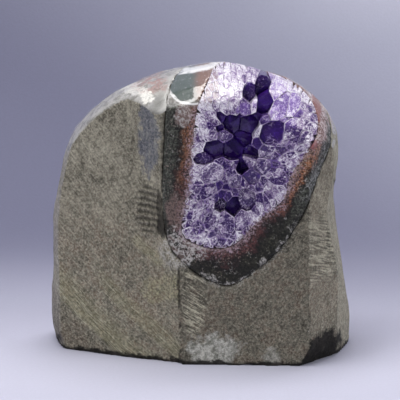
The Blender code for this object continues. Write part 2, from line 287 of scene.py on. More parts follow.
def basaltMaterial(look):
    b = Board("sawnBasalt")
    patch = b.patches(look["patches"])
    toRind = b.held("toRind")
    speck = b.noise(1.35, 4, 0.85)
    grain = b.noise(3.4, 2, 0.6)
    mottle = b.noise(0.33, 5, 0.72)
    broad = b.noise(0.085, 4, 0.6)
    facing = b.add("ShaderNodeSeparateXYZ", {}, {0: b.add("ShaderNodeNewGeometry", out="Normal")})
    upward, rightward = b.other(facing, 2), facing
    front = b.step(b.y, 4, -3)
    creaseX = -7.2 + (b.noise(0.1, 5, 0.7) - 0.5) * 5
    rightSide = b.step(b.x - creaseX, -0.3, 0.6)
    leftSide = 1 - rightSide
    flecks = b.noise(0.6, 3, 0.7)
    tone = b.step(speck * 0.6 + grain * 0.15 + mottle * 0.36 + flecks * 0.2, 0.545, 0.78)
    colour = b.mix(look["dark"], look["light"], tone * 0.82 + b.step(broad, 0.35, 0.65) * 0.2)
    blotches = b.step(mottle * 0.75 + broad * 0.4, 0.53, 0.66) * b.step(b.z + (broad - 0.5) * 60, 72, 36)
    colour = b.mix(colour, look["brown"], blotches * (0.3 + b.step(speck, 0.54, 0.44) * 0.65))
    earthy = patch["earth"] * leftSide * front
    earthy = earthy * (0.15 + b.step(mottle, 0.44, 0.6) * 0.25) * b.step(speck, 0.6, 0.4)
    colour = b.mix(colour, look["brown"], earthy)
    # saw arcs on the left face, drawn round a far centre, with three brighter sweeps low down
    fromHub = ((b.x - 110) ** 2 + (b.z - 180) ** 2) ** 0.5 + (b.noise(0.05, 2) - 0.5) * 3
    along = b.x * 0.7 - b.z * 0.7
    hatch = b.streak(fromHub, along, 3.0, 0.16)
    sweep = b.step(fromHub, 216, 224) * b.step(fromHub, 228.5, 226.5)
    sweep = sweep.sum("MAXIMUM", b.ring(fromHub, 211, 4) * b.step(b.x, -40, -32) * 0.75)
    sweep = sweep.sum("MAXIMUM", b.ring(fromHub, 190.5, 2.6) * patch["upperSweep"] * 0.8)
    sweep = sweep * leftSide * front
    stroke = b.step(hatch, 0.5, 0.66)
    colour = b.mix(colour, look["olive"], patch["olive"] * leftSide * front * b.step(speck, 0.4, 0.6) * 0.6)
    colour = b.mix(colour, look["olive"], sweep * 0.35)
    mainSweep = b.ring(fromHub, 224.6, 3.4) * b.step(b.x, -20, -30) * leftSide * front
    colour = b.mix(colour, look["scratch"], stroke * (sweep * 0.5 + mainSweep * 0.4 + 0.22) * leftSide * front)
    colour = b.scale(colour, 1 - b.step(hatch, 0.48, 0.34) * leftSide * front * (0.34 + sweep * 0.2))
    # the right face: painted shade makes it darker, with faint marks that climb to the right
    marks = b.streak(b.x * 0.8 - b.z * 0.6, b.x * 0.6 + b.z * 0.8, 1.7, 0.12)
    rightShade = 1 - rightSide * front * (1 - look["rightFaceShade"]) * b.step(rightward, 0.88, 0.7)
    colour = b.scale(colour, rightShade * (1 + (marks - 0.5) * rightSide * 0.8))
    # coarse bright scratches in the strip beside the crease, with a dark line along it: a crack, and painted shadow
    # where the step meets the crease
    strip = patch["strip"] * rightSide * front
    gouge = b.streak(b.x * 0.5 + b.z * 0.87, b.x * 0.87 - b.z * 0.5, 1.15, 0.13, 4, 0.7)
    colour = b.mix(colour, look["scratch"], b.step(gouge, 0.51, 0.6) * strip * 0.7)
    colour = b.scale(colour, 1 - strip * b.step(gouge, 0.49, 0.36) * 0.4)
    # painted highlight: a pale bluish band down the rounded left edge, where the lamps catch it
    leftEdgeHighlight = b.step(rightward, -0.5, -0.75) * b.step(b.y, 16, 4) * b.step(b.x, -26, -34)
    colour = b.mix(colour, look["leftEdgeHighlight"], leftEdgeHighlight * (0.18 + tone * 0.25))
    # painted shadow: the crease is painted near black low down, together with the crack at the foot
    crackAndShadow = b.ring(b.x - creaseX, 0, 0.5) * b.step(b.z, 39, 34) * front * b.step(b.noise(0.12, 2), 0.4, 0.5)
    colour = b.mix(colour, look["shadowed"], crackAndShadow * 0.75)
    # blue-grey patch at the top of the left face, short level chatter marks under it, and painted shadow in a cleft
    # beside them
    blue = patch["blue"] * leftSide * front
    drawn = b.streak(b.x, b.z, 0.9, 0.16)
    colour = b.mix(colour, look["bluePatch"], blue * b.step(drawn, 0.4, 0.56) * 0.5)
    navy = b.mix(look["navy"], look["steel"], b.step(speck, 0.46, 0.68))
    colour = b.mix(colour, navy, blue * b.step(drawn, 0.62, 0.42) * 0.75)
    colour = b.scale(colour, 1 - b.ring(b.x, -12.4, 2.2) * b.step(b.z, 45, 60) * b.step(b.z, 96, 88) * front * 0.35)
    chatterPatch = patch["chatter"] * front
    waves = (b.z + b.x * 0.05 + (b.noise(0.3, 4, 0.7) - 0.5) * 1.3) * 2.7
    chatter = waves.sum("SINE") * 0.5 + speck * 0.6 + (flecks - 0.5) * 1.2
    colour = b.scale(colour, 1 - chatterPatch * (0.1 + 0.42 * b.step(chatter, 0.4, -0.15)))
    colour = b.mix(colour, look["light"], chatterPatch * b.step(chatter, 0.6, 0.85) * 0.4)
    # painted shadow: the cleft and the slot above it are painted near black
    shadedCleft = patch["shadedCleft"].sum("MAXIMUM", patch["shadedCleftTop"] * 0.8) * front
    colour = b.mix(colour, look["shadowed"], shadedCleft * 0.85)
    # ridges on the coarse right flank, a paler smooth flank beside it
    flank = b.step(rightward, 0.5, 0.66) * b.step(rightward, 0.94, 0.86) * b.step(b.z, 10, 16)
    ridges = b.streak(b.z * 0.9 + b.x * 0.44 + (mottle - 0.5) * 0.5, b.x * 0.9 - b.z * 0.44, 1.7, 0.2, 3, 0.6)
    combed = flank * b.step(b.z + (mottle - 0.5) * 12, 27, 33) * b.step(b.z + (mottle - 0.5) * 16, 58, 48)
    colour = b.mix(colour, look["scratch"], flank * 0.16 + combed * b.step(ridges, 0.48, 0.6) * 0.5)
    colour = b.scale(colour, 1 - combed * b.step(ridges, 0.5, 0.4) * 0.4)
    colour = b.mix(colour, look["brown"], (flank - combed) * b.step(speck, 0.56, 0.42) * 0.5)
    colour = b.mix(colour, look["flank"], b.step(rightward, 0.88, 0.95) * b.step(b.y, 8, -6) * (0.35 + tone * 0.4))
    # pale crust where the basalt meets the rind, low and to the right
    crust = b.step(toRind + (mottle - 0.5) * 12, 2.6, 0.2) * b.step(b.z + b.x * 0.6, 74, 62) * front
    crust = crust * b.step(speck * 0.5 + mottle * 0.5, 0.48, 0.55) * b.step(b.x, -2, 4)
    colour = b.mix(colour, look["crust"], crust * 0.85)
    vein = b.veins()
    colour = b.mix(colour, look["vein"], vein * patch["vein"] * b.step(b.y, 0, -10) * 0.8)
    seatEdge = b.step(toRind, 1.3, 0.5) * front * b.step(b.z, 90, 84)
    colour = b.scale(colour, 1 - seatEdge * b.step(mottle, 0.56, 0.46) * 0.75)
    # pale calcite at the foot, and painted shadow on the broken edges under it
    calcite = patch["calcite"]
    calcite = calcite.sum("MAXIMUM", patch["calciteRight"] * 0.6)
    pale = b.mix(look["calciteShade"], look["calcite"], b.step(b.noise(0.45, 6, 0.85), 0.4, 0.56))
    colour = b.mix(colour, pale, calcite * b.step(b.y, -10, -20) * 0.9)
    # painted shadow: faces that look down, the bottom edge on the ground and the chipped corner are painted near
    # black
    facingDownShade = b.step(upward, -0.08, -0.3)
    groundShadow = b.step(b.z + (b.noise(0.2, 5, 0.7) - 0.5) * 7, 2.1, 0.9)
    foot = b.step(fromHub + (broad - 0.5) * 8, 227, 231) * leftSide * front
    colour = b.mix(colour, b.mix(look["footDark"], look["earth"], b.step(speck, 0.42, 0.6)), foot * 0.4)
    chip = patch["chip"] * b.step(rightward, 0.12, 0.34)
    undersideShadow = facingDownShade.sum("MAXIMUM", groundShadow).sum("MAXIMUM", chip)
    colour = b.mix(colour, b.scale(look["shadowed"], 0.3 + b.step(mottle, 0.45, 0.7) * 3), undersideShadow * 0.95)
    # the dome was ground smooth: paler, with pink minerals at its left and a near-white spot, part white mineral and
    # part painted highlight
    dome = b.step(upward, 0.2, 0.36) * b.step(b.y, 24, 6) * (1 - b.step(toRind, 2.5, 1.2) * b.step(b.z, 92, 86))
    ground = b.mix(look["dome"], look["domeShade"], b.step(b.noise(0.3, 5, 0.8), 0.44, 0.6))
    skyline = 1 - b.step(b.x, -20, -26) * b.step(b.y + (mottle - 0.5) * 8, -14, -24) * 0.75
    colour = b.mix(colour, b.scale(ground, 0.8 + speck * 0.4), dome * skyline * 0.8)
    colour = b.mix(colour, look["domeGrey"], patch["domeGrey"] * dome * 0.6)
    # painted light: a pale mottled edge along the rind on the dome, filling the shade of the groove between them
    colour = b.mix(colour, look["domeGrooveLight"], b.step(toRind, 3.5, 0.4) * dome * b.step(mottle, 0.36, 0.5) * 0.8)
    colour = b.mix(colour, look["pink"], patch["pink"] * dome * b.step(mottle, 0.42, 0.56) * 0.8)
    # painted highlight: the near-white spot on the dome's left, part white mineral
    milkAndHighlight = patch["milkAndHighlight"].sum("MAXIMUM", patch["milkAndHighlightLeft"] * 0.6)
    colour = b.mix(colour, look["milkAndHighlight"], milkAndHighlight * dome * b.step(speck, 0.3, 0.55))
    colour = b.mix(colour, look["pinkGrey"], patch["pinkRight"] * dome * 0.6)
    # the natural back and sides, and the grain that the light picks out
    back = b.step(b.y, 4, 16)
    colour = b.mix(colour, b.mix(look["backDark"], look["earth"], b.step(mottle, 0.38, 0.62)), back * 0.8)
    coarseGrain = b.step(b.noise(1.0, 4, 0.8), 0.4, 0.6)
    contrast = 0.3 + b.step(b.z + (broad - 0.5) * 60, 62, 34) * 0.25
    colour = b.scale(colour, 1 + (coarseGrain - 0.5) * (1 - dome) * contrast)
    rough = 0.8 - dome * (0.58 - patch["dull"] * 0.28) + (speck - 0.5) * 0.2 - blue * 0.15
    height = speck * 0.7 + grain * 0.3 + stroke * (sweep + 0.15) * 0.5 + gouge * strip * 2.5 - crackAndShadow * 2 - shadedCleft * 4
    height = height + chatter * chatterPatch * 2.5 + ridges * combed * 2.2 + marks * rightSide * 0.4 + calcite * 0.8
    height = height * (1 - dome * 0.85) + mottle * (back + foot + chip) * 4
    return b.finish(b.shade(Base_Color=colour, Roughness=rough, Normal=b.bump(height, 0.00035, 0.9),
                            Specular_IOR_Level=0.25, Coat_Roughness=0.06,
                            Coat_Weight=dome * (0.6 - patch["dull"] * 0.45)))


def makeBasalt():
    look = basaltLook
    block = copyOf("basalt_block", "basaltBlock")
    rindTree = treeOf(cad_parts["agate_rind"])
    modify(block, "REMESH", mode="VOXEL", voxel_size=look["voxel"], adaptivity=0)
    attribute(block, "toRind", [min(20, rindTree.find_nearest(v.co)[3] / mm) for v in block.data.vertices])
    for vert, normal in zip(block.data.vertices, [v.normal.copy() for v in block.data.vertices]):
        at = vert.co / mm
        rough = min(1, max(0, (at.y - 2) / 10))
        if normal.z < -0.1 or at.z < 2.5 or 0.5 < normal.x < 0.93:
            rough = max(rough, 0.5)
        wave = noise.noise(at / 5) + 0.5 * noise.noise(at / 2.2)
        lift = look["sawnLift"] + (look["roughLift"] - look["sawnLift"]) * rough
        if at.z > 0.4:
            vert.co += normal * wave * lift * mm
    fuller(block)
    block.data.materials.append(basaltMaterial(look))
    smooth(block, 35)
    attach(block, "root")
    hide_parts("basalt_block")
    print("basalt block:", len(block.data.polygons), "faces")


# agate rind, banded from the crystals out to the basalt
rindLook = {
    "voxel": 0.55 * mm, "swell": 0.06, "seatSwell": 0.36,  # mesh size, and how far the faces and the seats are filled
    "orange": (0.15, 0.06, 0.028), "red": (0.07, 0.024, 0.023), "black": (0.008, 0.006, 0.005),
    "green": (0.045, 0.048, 0.038), "olive": (0.026, 0.025, 0.015), "rust": (0.3, 0.12, 0.05),
    "glassy": (0.14, 0.15, 0.13), "crumb": (0.42, 0.33, 0.28), "paleCrumb": (0.5, 0.4, 0.33),
    "pinkBrown": (0.2, 0.135, 0.12), "white": (0.55, 0.53, 0.5), "fringe": (0.48, 0.37, 0.42),
    "lensGreen": (0.082, 0.104, 0.093), "lensBrown": (0.2, 0.115, 0.085), "lensGrey": (0.24, 0.24, 0.22),
    "lensFleck": (0.6, 0.6, 0.58), "domeDark": (0.2, 0.19, 0.17), "domePale": (0.6, 0.58, 0.55),
    "domeBrown": (0.25, 0.17, 0.15), "rim": (0.85, 0.84, 0.82), "gleam": (0.9, 0.9, 0.9),
    "crustDark": (0.17, 0.085, 0.075), "crustPale": (0.62, 0.54, 0.55), "redStreak": (0.24, 0.08, 0.07),
    "redSpot": (0.24, 0.05, 0.06), "highlightStreak": (0.5, 0.5, 0.48),
    "patches": {
        "pinkish": (-8.8, 56, 3.4, 7, 1.8, 0.3), "corner": (-5.5, 44.5, 8, 7, 2.6, 0.2),
        "underLens": (-5.8, 91, 3.6, 4.2, 1.2, 0.3), "crust": (42.5, 88.5, 4.6, 9, 1.4, 0.3),
        "redStreak": (42.5, 91.5, 1.8, 4.2, 1.0, 0.4), "redSpot": (40.4, 80.6, 1.5, 1.7, 2.0, 0.7),
    },
}


def rindMaterial(look):
    b = Board("bandedAgate")
    patch = b.patches(look["patches"])
    band = b.held("band")
    fine = b.noise(1.3, 5, 0.8)
    blot = b.noise(0.35, 5, 0.7)
    place = band + (b.noise(0.2, 5, 0.7) - 0.5) * 1.2 + (fine - 0.5) * 0.6 + (b.noise(0.09, 3) - 0.5) * 0.5
    low = b.step(b.z + (blot - 0.5) * 10, 60, 46)
    right = b.step(b.x, 14, 24)
    inner = b.mix(look["orange"], look["red"], low.sum("MAXIMUM", b.step(b.z + (blot - 0.5) * 30, 76, 64)))
    colour = b.mix(inner, look["black"], b.step(place, 0.3, 0.5))
    outer = b.mix(look["green"], look["olive"], low)
    colour = b.mix(colour, outer, b.step(place, 0.52, 0.66))
    patches = b.step(b.noise(0.3, 5, 0.75), 0.5, 0.62) * low.sum("MAXIMUM", right)
    colour = b.mix(colour, look["black"], patches * b.step(place, 0.2, 0.5) * 0.85)
    colour = b.mix(colour, look["glassy"], b.step(fine, 0.55, 0.7) * b.step(place, 0.7, 0.95) * (1 - low * 0.7) * 0.8)
    colour = b.mix(colour, look["rust"], b.ring(place, 0.3, 0.16) * right * b.step(b.z, 52, 66) * 0.6)
    crumbs = b.noise(1.5, 4, 0.75)
    colour = b.scale(colour, 0.15 + b.step(fine, 0.4, 0.62) * 1.9)
    colour = b.mix(colour, look["black"], b.step(crumbs, 0.48, 0.36) * 0.75)
    colour = b.mix(colour, look["crumb"], b.step(crumbs, 0.56, 0.66) * b.step(blot - right * 0.12, 0.42, 0.56) * 0.7)
    colour = b.scale(colour, 1 - low * b.step(place, 0.34, 0.6) * b.step(blot, 0.6, 0.46) * 0.6)
    sandy = b.step(crumbs + (blot - 0.5) * 0.3, 0.53, 0.62) * right * b.step(b.z, 58, 68) * b.step(place, 0.75, 0.4)
    colour = b.mix(colour, look["paleCrumb"], sandy * 0.7)
    # pinkish zone low on the left, white veins under it, crust and specks in the dark foot of the nodule
    colour = b.mix(colour, look["pinkBrown"], patch["pinkish"] * b.step(fine, 0.36, 0.56) * 0.85)
    vein = b.veins()
    colour = b.mix(colour, look["pinkBrown"], patch["corner"] * b.step(blot, 0.46, 0.58) * 0.6)
    white = (vein * 0.85).sum("MAXIMUM", b.step(crumbs, 0.56, 0.64) * 0.5) * patch["corner"]
    colour = b.mix(colour, look["white"], white)
    specks = b.step(b.noise(0.7, 5, 0.8), 0.57, 0.64) * b.step(b.noise(0.16, 3), 0.5, 0.6)
    edge = b.step(band + (blot - 0.5) * 1.6, 0.88, 1.04) * b.step(crumbs, 0.44, 0.56) * low * b.step(b.x, -3, 3)
    colour = b.mix(colour, look["white"], (specks * b.step(place, 0.3, 0.55)).sum("MAXIMUM", edge) * 0.7)
    crumbly = b.mix(look["pinkBrown"], look["white"], b.step(fine, 0.46, 0.58))
    colour = b.mix(colour, crumbly, patch["underLens"] * 0.8)
    fringe = b.step(band * 4 + (crumbs - 0.5) * 5 + (blot - 0.5) * 4, 0.9, 0.1)
    colour = b.mix(colour, look["fringe"], fringe * b.step(fine, 0.42, 0.58) * 0.8)
    # the dome: an oval lens, green then brown, with a white line under it; pink crust on the right
    dome = b.step(b.z, 93, 95.5)
    wander = (b.noise(0.3, 4, 0.7) - 0.5) * 3
    lens = b.mix(look["lensGreen"], look["lensBrown"], b.step(b.x + wander, -3.4, 0.4))
    lens = b.mix(lens, look["lensGrey"], b.step(b.z - b.x * 0.15 + wander, 97.4, 95.2) * 0.7)
    lens = b.mix(lens, look["lensFleck"], b.step(b.noise(0.8, 4, 0.75), 0.6, 0.68) * 0.5)
    clouds = b.noise(0.35, 5, 0.75, twist=0.8)
    around = b.mix(look["domeDark"], look["domePale"], b.step(clouds, 0.4, 0.58))
    around = b.mix(around, look["domeBrown"], b.step(b.x + wander * 0.4, 0.5, 3) * 0.8)
    oval = ((b.x + 3.2 + wander * 0.4) / 8.2) ** 2 + ((b.z - 100.4 + wander * 0.3) / 5.6) ** 2
    around = b.mix(around, look["lensBrown"], b.step(b.x + wander, -2.4, -0.4) * b.step(b.z, 91, 94) * 0.85)
    lens = b.mix(around, lens, b.step(oval, 1.1, 0.9))
    colour = b.mix(colour, b.scale(lens, 0.6 + fine * 0.8), dome * b.step(b.x, 12, 8))
    rim = b.ring(oval, 1.03, 0.16) * b.step(b.z, 98.5, 97) * b.step(b.x, 6, 2)
    colour = b.mix(colour, look["rim"], rim * b.step(blot, 0.3, 0.45) * 0.9)
    gleam = b.ring(b.z - b.x * 0.19 + wander * 0.25, 104.8, 0.8) * b.step(b.x, -9, -6) * b.step(blot, 0.3, 0.46)
    colour = b.mix(colour, look["gleam"], gleam * 0.85)
    crust = b.mix(look["crustDark"], look["crustPale"], b.step(crumbs * 0.6 + blot * 0.4, 0.45, 0.56))
    colour = b.mix(colour, crust, patch["crust"])
    colour = b.mix(colour, look["redStreak"], patch["redStreak"] * 0.75)
    colour = b.mix(colour, look["redSpot"], patch["redSpot"] * 0.7)
    # painted highlight: thin white streaks on the dark glassy band at the right
    highlightStreaks = b.thread(b.noise(0.45, 3, 0.6, twist=0.5), 0.1) * right * b.step(b.z, 58, 66) * b.step(place, 0.45, 0.7)
    colour = b.mix(colour, look["highlightStreak"], highlightStreaks * 0.6)
    rough = 0.2 + fine * 0.3 - dome * 0.22
    height = fine * 0.8 + specks * 0.8 + blot * 1.2
    normal = b.bump(height * (1 - dome * 0.85), 0.0004, 0.8)
    return b.finish(b.shade(Base_Color=colour, Roughness=rough, Normal=normal, Specular_IOR_Level=0.3,
                            Coat_Weight=dome * 0.7, Coat_Roughness=0.05))


def makeRind():
    look = rindLook
    insideTree = treeOf(copyOf("amethyst_crystals", "crystalSide"))
    outsideTree = treeOf(copyOf("basalt_block", "basaltSide"))
    for name in ("crystalSide", "basaltSide"):
        dropMesh(bpy.data.objects[name])
    rind = copyOf("agate_rind", "agateRind")
    modify(rind, "REMESH", mode="VOXEL", voxel_size=look["voxel"], adaptivity=0)
    bands = []
    for vert, normal in zip(rind.data.vertices, [v.normal.copy() for v in rind.data.vertices]):
        near = insideTree.find_nearest(vert.co)[3]
        far = outsideTree.find_nearest(vert.co)[3]
        bands.append(near / (near + far))
        onSeat = min(near, far) < 0.5 * mm and abs(normal.dot(polishedNormal)) < 0.8 and normal.z < 0.5
        vert.co += normal * look["seatSwell" if onSeat else "swell"] * mm
    attribute(rind, "band", bands)
    fuller(rind)
    rind.data.materials.append(rindMaterial(look))
    smooth(rind, 40)
    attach(rind, "root")
    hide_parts("agate_rind")
    print("agate rind:", len(rind.data.polygons), "faces")


# the amethyst: crystals side by side, cut flush by the polish at the rim, open pockets with tips in the middle
crystalLook = {
    "seed": 5, "gap": 0.012, "edge": 0.3,  # the draw, the seam between crystals and their frosted edge
    "rimSize": 0.72, "midSize": 1.7, "pocketDepth": 0.6, "centre": (16, 77),
    "paleness": {  # at the rim, its loss per millimetre inward, what each part adds, and the crystals' own spread; the dome's share is painted light from the lamp above
        "rim": 0.555, "inward": 0.033, "upperLeft": 0.17, "dome": 0.22, "upperRight": 0.2, "spread": 0.14,
    },
    "violet": (0.4, 0.22, 0.8), "deep": (0.1, 0.025, 0.42), "stain": (0.22, 0.12, 0.12),
    "bending": 1.544, "seeThrough": 0.55, "inside": (0.6, 0.35, 0.95, 1), "density": 60.0,
    "patches": {
        "violet": (28, 94, 9, 9, 0.8, 0.3), "smallViolet": (15.6, 92.8, 2.8, 2.4, 0.5),
        "stainTop": (3.4, 100.8, 3.6, 7.2, 1.4, 0.4), "stainLeft": (-5, 66, 2, 10, 1.0, 0.4),
    },
    # from the darkest quartz to the whitest
    "stops": [(0.0, (0.036, 0.005, 0.17)), (0.2, (0.072, 0.017, 0.25)), (0.38, (0.13, 0.066, 0.27)),
              (0.55, (0.29, 0.19, 0.39)), (0.72, (0.56, 0.48, 0.62)), (0.9, (0.95, 0.91, 0.97))],
    "outline": [(6, 120), (3, 104), (-1, 94), (-2.3, 84), (-3.2, 70), (-4.7, 60), (-6.8, 51), (-5.2, 46), (2, 43),
                (9, 43), (14, 45.5), (18.5, 51), (24.3, 56.3), (30, 60.8), (31.7, 68), (35.5, 76), (40.4, 82.6),
                (41.7, 89), (41, 99), (37, 113), (22, 123)],
    # place on the face, size across, depth under the polish and paleness of the crystals that stand out
    "standing": [
        (11.6, 87.6, 6.5, 6, 0.03), (17, 86.8, 7, 8, 0.0), (15.6, 92.8, 4.4, 0.9, 0.3), (8.6, 83.2, 4.2, 0.9, 0.2),
        (8.0, 89.4, 2.4, 3, 0.08), (14.2, 91, 2.0, 3, 0.08), (20.4, 90.2, 2.2, 3, 0.06), (7.2, 86.2, 2.2, 3, 0.1),
        (5.6, 78.4, 6.4, 5, 0.04), (11.6, 78.2, 7.2, 7, 0.0), (15.2, 81.8, 5.2, 8, 0.02),
        (22.4, 99.4, 4.6, 3, 0.12), (22.9, 93.8, 5.2, 5, 0.07), (17.6, 98, 4.0, 3, 0.12), (24.8, 83.5, 8, 0.8, 0.1),
        (23.5, 77.8, 4.6, 0.5, 0.4), (18.4, 77.2, 3.4, 8, 0.0), (1.4, 75.2, 4.2, 3, 0.15),
        (5, 70.5, 6.5, 0.3, 0.45), (15, 72.5, 3.8, 6, 0.08), (12.4, 67.0, 4.6, 0.5, 0.3),
        (18.6, 68.5, 5, 0.9, 0.15), (22.5, 72.5, 5.5, 0.4, 0.28), (26.5, 69.5, 5.5, 0.1, 0.36),
        (16.6, 61.5, 5.8, 1.2, 0.35), (12, 57.6, 4.6, 6, 0.08), (7.4, 58.6, 3.0, 4.5, 0.3),
        (3, 63.5, 4.2, 0.3, 0.34), (9, 51.5, 6.0, 0.2, 0.42), (4.4, 53, 4.5, 0.3, 0.45), (14.5, 53, 4.5, 0.2, 0.42),
        (20.6, 84.6, 3.0, 0.2, 0.7), (28, 92, 6.0, 0.6, 0.42), (30.5, 84.5, 5.5, 0.1, 0.42),
        (31.5, 92, 5, 0.2, 0.5), (27.5, 97.5, 5, 0.3, 0.55), (12.5, 93.2, 4.5, 0.6, 0.5),
    ],
}

def clip(outline, point, away):  # keeps the part of an outline on the near side of a line
    kept = []
    for a, b in zip(outline, outline[1:] + outline[:1]):
        da, db = (a - point).dot(away), (b - point).dot(away)
        if da <= 0:
            kept.append(a)
        if (da < 0 < db) or (db < 0 < da):
            kept.append(a + (b - a) * (da / (da - db)))
    return kept


def pressed(at, back=False):  # a flat map of the face with its rim pressed inward, and the way back
    away = at - Vector(crystalLook["centre"])
    reach = Vector((away.x / 24, away.y / 32)).length
    if reach <= 0.5:
        return at.copy()
    other = 0.5 + (reach - 0.5) / 0.6 if back else 0.5 + (reach - 0.5) * 0.6
    return Vector(crystalLook["centre"]) + away * (other / reach)


def crystalSeeds():
    look = crystalLook
    dice = random.Random(look["seed"])
    seeds = []
    for x, z, size, depth, pale in look["standing"]:
        seeds.append((pressed(Vector((x, z))), size / 2, depth * (look["pocketDepth"] if depth > 2 else 1), pale))
    for attempt in range(9000):
        real = Vector((dice.uniform(-9, 44), dice.uniform(41, 109)))
        at = pressed(real)
        away = real - Vector(look["centre"])
        rim = min(1, Vector((away.x / 24, away.y / 32)).length)
        half = look["midSize"] + (look["rimSize"] - look["midSize"]) * min(1, rim * 1.25)
        if all((at - other[0]).length > 0.9 * (half + other[1]) for other in seeds):
            seeds.append((at, half, dice.choice((0, 0, 0, 0.15, 0.4)), None))
    return seeds


def crystalCells(seeds):  # the outline of every crystal on the face, in millimetres
    centre = Vector(crystalLook["centre"])
    edge = [centre + (Vector(p) - centre) * 1.03 for p in crystalLook["outline"]]  # reaches under the rind's lip
    whole = []
    for a, b in zip(edge, edge[1:] + edge[:1]):
        whole += [pressed(a + (b - a) * k / 6) for k in range(6)]
    cells = []
    for at, half, depth, pale in seeds:
        outline = whole
        for other, otherHalf, *rest in seeds:
            apart = other - at
            far = apart.length
            if 0 < far < (half + otherHalf) * 3:
                share = 0.5 + (half ** 2 - otherHalf ** 2) / (2 * far ** 2)
                outline = clip(outline, at + apart * share - apart / far * crystalLook["gap"], apart / far)
                if len(outline) < 3:
                    break
        tidy = [p for p, q in zip(outline, outline[1:] + outline[:1]) if (p - q).length > 0.08]
        if len(tidy) > 2:
            cells.append(([pressed(p, True) for p in tidy], depth, pale))
    return cells


def amethystBoard(name):
    b = Board(name)
    away = b.add("ShaderNodeVectorMath", {"operation": "MULTIPLY"}, {
        0: b.add("ShaderNodeVectorMath", {"operation": "SUBTRACT"}, {0: b.place, 1: (15, 0, 74)}), 1: (1, 0, 0.8)})
    reach = b.add("ShaderNodeVectorMath", {"operation": "LENGTH"}, {0: away}, out="Value")
    heading = b.add("ShaderNodeVectorMath", {"operation": "NORMALIZE"}, {0: away})
    fibres = b.add("ShaderNodeVectorMath", {"operation": "ADD"}, {
        0: b.scale(heading, 17), 1: b.add("ShaderNodeCombineXYZ", {}, {1: reach * 0.22})})
    b.fibres = fibres
    b.tone = b.held("tone")
    b.fine = b.noise(2.0, 4, 0.75)
    b.veil = b.noise(0.6, 4, 0.7, twist=0.8)
    b.toEdge = b.held("toEdge") + (b.veil - 0.5) * 5
    return b


def amethystMaterial(look):
    b = amethystBoard("amethyst")
    patch = b.patches(look["patches"])
    rimward = b.step(b.tone, 0.42, 0.62)
    warped = b.add("ShaderNodeVectorMath", {"operation": "ADD"}, {
        0: b.place, 1: b.scale(b.add("ShaderNodeTexNoise", {}, {"Vector": b.place, "Scale": 0.5}, out="Color"), 3.0)})
    facets = b.add("ShaderNodeTexVoronoi", {}, {"Vector": warped, "Scale": 0.42}, out="Color")
    flats = b.add("ShaderNodeSeparateXYZ", {}, {0: facets})
    net = b.add("ShaderNodeTexVoronoi", {"feature": "DISTANCE_TO_EDGE"}, {"Vector": warped, "Scale": 0.6},
                out="Distance")
    streak = b.noise(1.0, 4, 0.72, b.fibres, 0.4)
    barbs = b.noise(0.75, 3, 0.6, b.fibres, 1.4)
    curls = b.noise(0.55, 3, 0.6, twist=1.6)
    lines = b.step(net, 0.05, 0.0) * b.step(b.veil, 0.36, 0.55) * 0.5
    fan = (b.thread(barbs, 0.16) * 0.4 + b.thread(curls, 0.1) * 0.32) * (0.25 + rimward * 0.75)
    pale = b.tone + (flats - 0.5) * 0.4 + (streak - 0.5) * (0.3 + rimward * 0.5) + (b.veil - 0.5) * 0.5
    glint = b.step(b.noise(1.6, 3, 0.7), 0.6, 0.68) * b.step(b.tone, 0.12, 0.3) * 0.35
    pale = pale * b.step(b.tone, -0.2, 0.16) + lines * b.step(b.tone, 0.0, 0.2) + fan
    pale = pale + (b.fine - 0.5) * (0.1 + rimward * 0.35) - rimward * 0.1 + glint
    # painted light: paler towards the top, where the lamp above lights the dome
    pale = pale + (0.83 - pale) * b.step(b.z + (b.veil - 0.5) * 12, 90, 100) * b.step(b.tone, 0.3, 0.5) * 0.5
    colour = b.ramp(pale, look["stops"])
    violet = patch["violet"].sum("MAXIMUM", patch["smallViolet"])
    colour = b.mix(colour, look["violet"], violet * b.step(b.tone, 0.15, 0.28) * b.step(pale, 0.85, 0.5) * 0.55)
    deep = b.step(b.tone, 0.16, 0.08)
    colour = b.mix(colour, look["deep"], deep * b.step(b.noise(0.22, 3, 0.6), 0.44, 0.62) * 0.8)
    stain = b.step(b.toEdge, 1.3, 0.2).sum("MAXIMUM", patch["stainTop"]).sum("MAXIMUM", patch["stainLeft"])
    stain = stain * (0.35 + b.step(b.fine, 0.4, 0.56) * 0.65)
    colour = b.mix(colour, look["stain"], stain * 0.8)
    colour = b.scale(colour, 1 - b.step(b.z, 76, 62) * 0.12)
    cloudy = b.step(pale, 0.34, 0.7)
    height = streak * 1.4 + b.fine * 0.5 + flats * 0.8
    clear = b.shade(Base_Color=colour, Roughness=0.05 + b.fine * 0.12, IOR=look["bending"],
                    Transmission_Weight=look["seeThrough"], Specular_IOR_Level=0.25,
                    Normal=b.bump(flats * 1.2 + b.fine * 0.2, 0.0003, 0.6))
    milky = b.shade(Base_Color=colour, Roughness=0.26, IOR=look["bending"], Normal=b.bump(height, 0.0005, 0.9),
                    Coat_Weight=0.5, Coat_Roughness=0.06)
    surface = b.add("ShaderNodeMixShader", {}, {0: cloudy, 1: clear, 2: milky})
    inside = b.add("ShaderNodeVolumeAbsorption", {}, {"Color": look["inside"], "Density": look["density"]})
    return b.finish(surface, inside)


def frostMaterial(look):
    b = amethystBoard("frostedEdges")
    worn = b.step(b.noise(0.45, 4, 0.7), 0.38, 0.6)
    pale = b.tone * 0.72 + 0.17 + worn * 0.33 + (b.fine - 0.5) * 0.6
    colour = b.ramp(pale, look["stops"])
    return b.finish(b.shade(Base_Color=colour, Roughness=0.25, Normal=b.bump(b.fine, 0.0004, 0.8), Coat_Weight=0.4,
                            Coat_Roughness=0.08))


